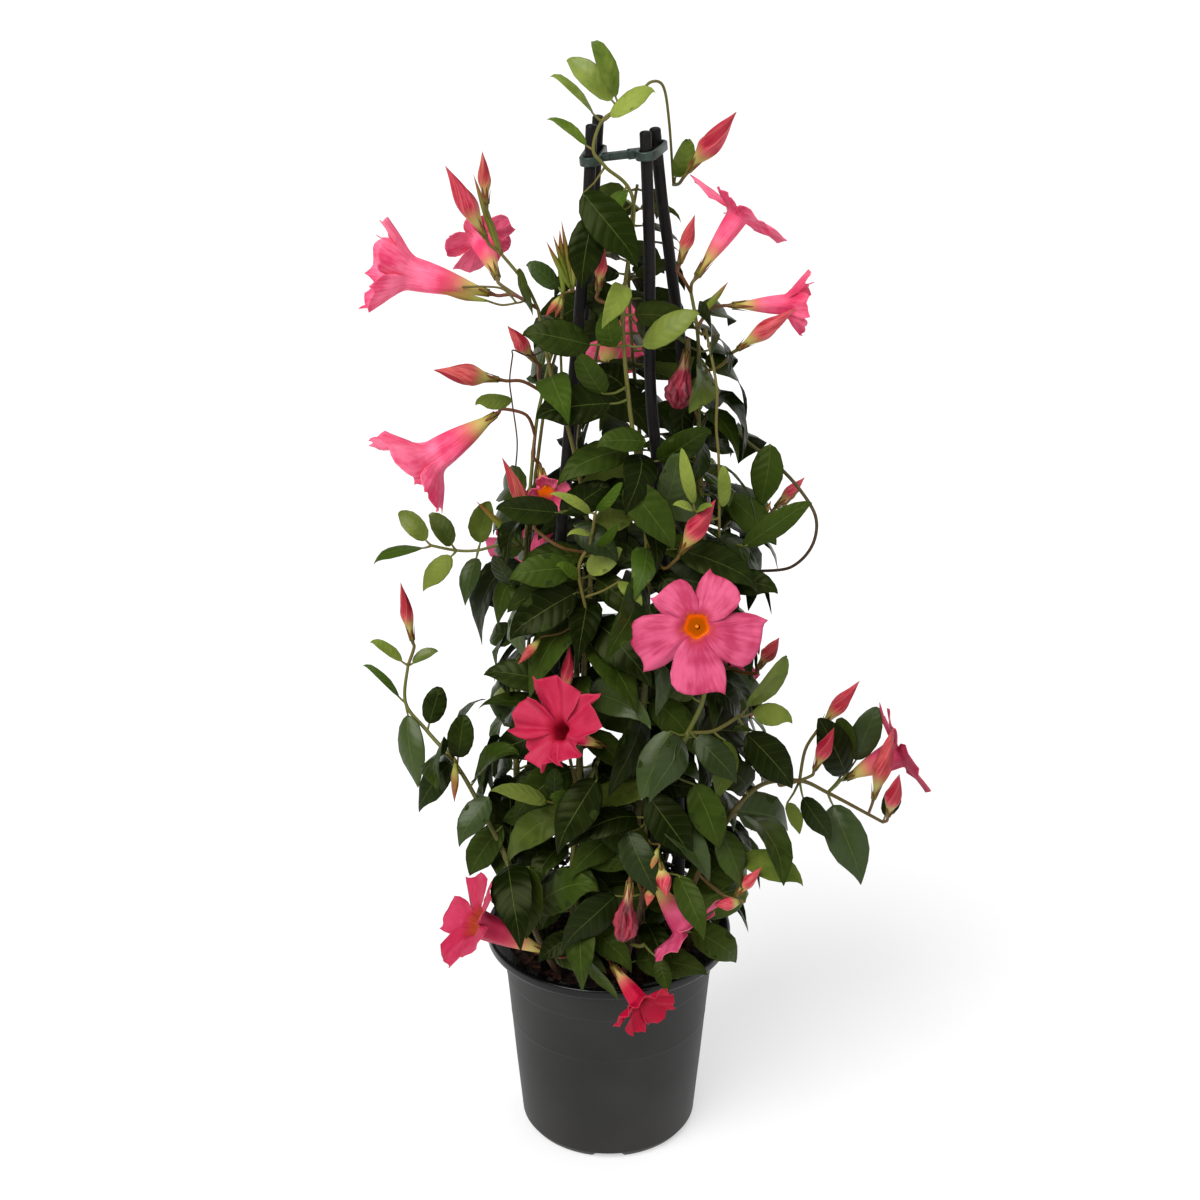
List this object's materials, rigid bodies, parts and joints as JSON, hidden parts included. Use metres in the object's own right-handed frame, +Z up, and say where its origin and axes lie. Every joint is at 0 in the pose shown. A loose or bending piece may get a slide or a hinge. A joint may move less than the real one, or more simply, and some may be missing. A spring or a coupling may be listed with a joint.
{
  "type": "mandevilla in a pot",
  "caption": "Climbing mandevilla trained on bowed canes in a round nursery pot, with glossy leaves, pink funnel blooms and pointed buds.",
  "frame": {"origin": "centre of the pot's flat underside", "axes": "+Z up through the pot; +Y away from the viewed front"},
  "size_m": [0.3807, 0.2734, 0.768],
  "materials": {
    "pot_plastic": "dark grey moulded plastic with a satin sheen and a glossier lip",
    "soil": "damp dark bark and peat compost",
    "cane_coat": "dark brown plastic coating with a lighter streak",
    "clip_plastic": "dull dark green moulded plastic",
    "foliage": "glossy dark green leaves with pale midribs, green to brown stems",
    "petal": "soft hot pink with deeper veins, pale tube and yellow throat",
    "petal_wilted": "shrivelled dark red",
    "bud_skin": "twisted pink-red folds with a yellow-green base"
  },
  "bodies": {
    "root": {"pot": "pot_plastic", "soil": "soil", "cane_clip": "clip_plastic", "cane_front_left": "cane_coat", "cane_back_left": "cane_coat", "cane_front_right": "cane_coat", "cane_back_right": "cane_coat", "bloom_upper_left": "petal", "bloom_upper_left_back": "petal", "bloom_middle_left": "petal", "bloom_top_right": "petal", "bloom_upper_right": "petal", "bloom_front": "petal", "bloom_front_left": "petal", "bloom_right": "petal", "bloom_low_left": "petal", "bloom_low_right": "petal", "bloom_pot_front": "petal", "bloom_middle_hidden": "petal", "bloom_back_right": "petal", "bloom_back_left": "petal", "bloom_back_top": "petal", "bloom_back_low": "petal", "wilted_upper": "petal_wilted", "wilted_low": "petal_wilted", "bud_upper_left_large": "bud_skin", "bud_upper_left_small": "bud_skin", "bud_middle_left": "bud_skin", "bud_middle_left_small": "bud_skin", "bud_left_inner": "bud_skin", "bud_far_left": "bud_skin", "bud_top_right": "bud_skin", "bud_upper_right_upright": "bud_skin", "bud_upper_right_long": "bud_skin", "bud_top_centre": "bud_skin", "bud_centre_right": "bud_skin", "bud_right_behind": "bud_skin", "bud_right_inner": "bud_skin", "bud_spray_outer": "bud_skin", "bud_spray_middle": "bud_skin", "bud_spray_inner": "bud_skin", "bud_spray_upper": "bud_skin", "bud_spray_lower": "bud_skin", "bud_low_front": "bud_skin", "bud_low_right": "bud_skin", "bud_front_left": "bud_skin", "vine_front_left": "foliage", "vine_front_right": "foliage", "vine_right": "foliage", "vine_left": "foliage", "vine_right_loop": "foliage", "vine_back_right": "foliage", "vine_back_left": "foliage", "vine_left_back": "foliage", "vine_low_left": "foliage", "vine_low_front": "foliage", "vine_low_right": "foliage", "vine_front_middle": "foliage", "vine_low_back_left": "foliage", "vine_low_back_right": "foliage"}
  },
  "joints": []
}
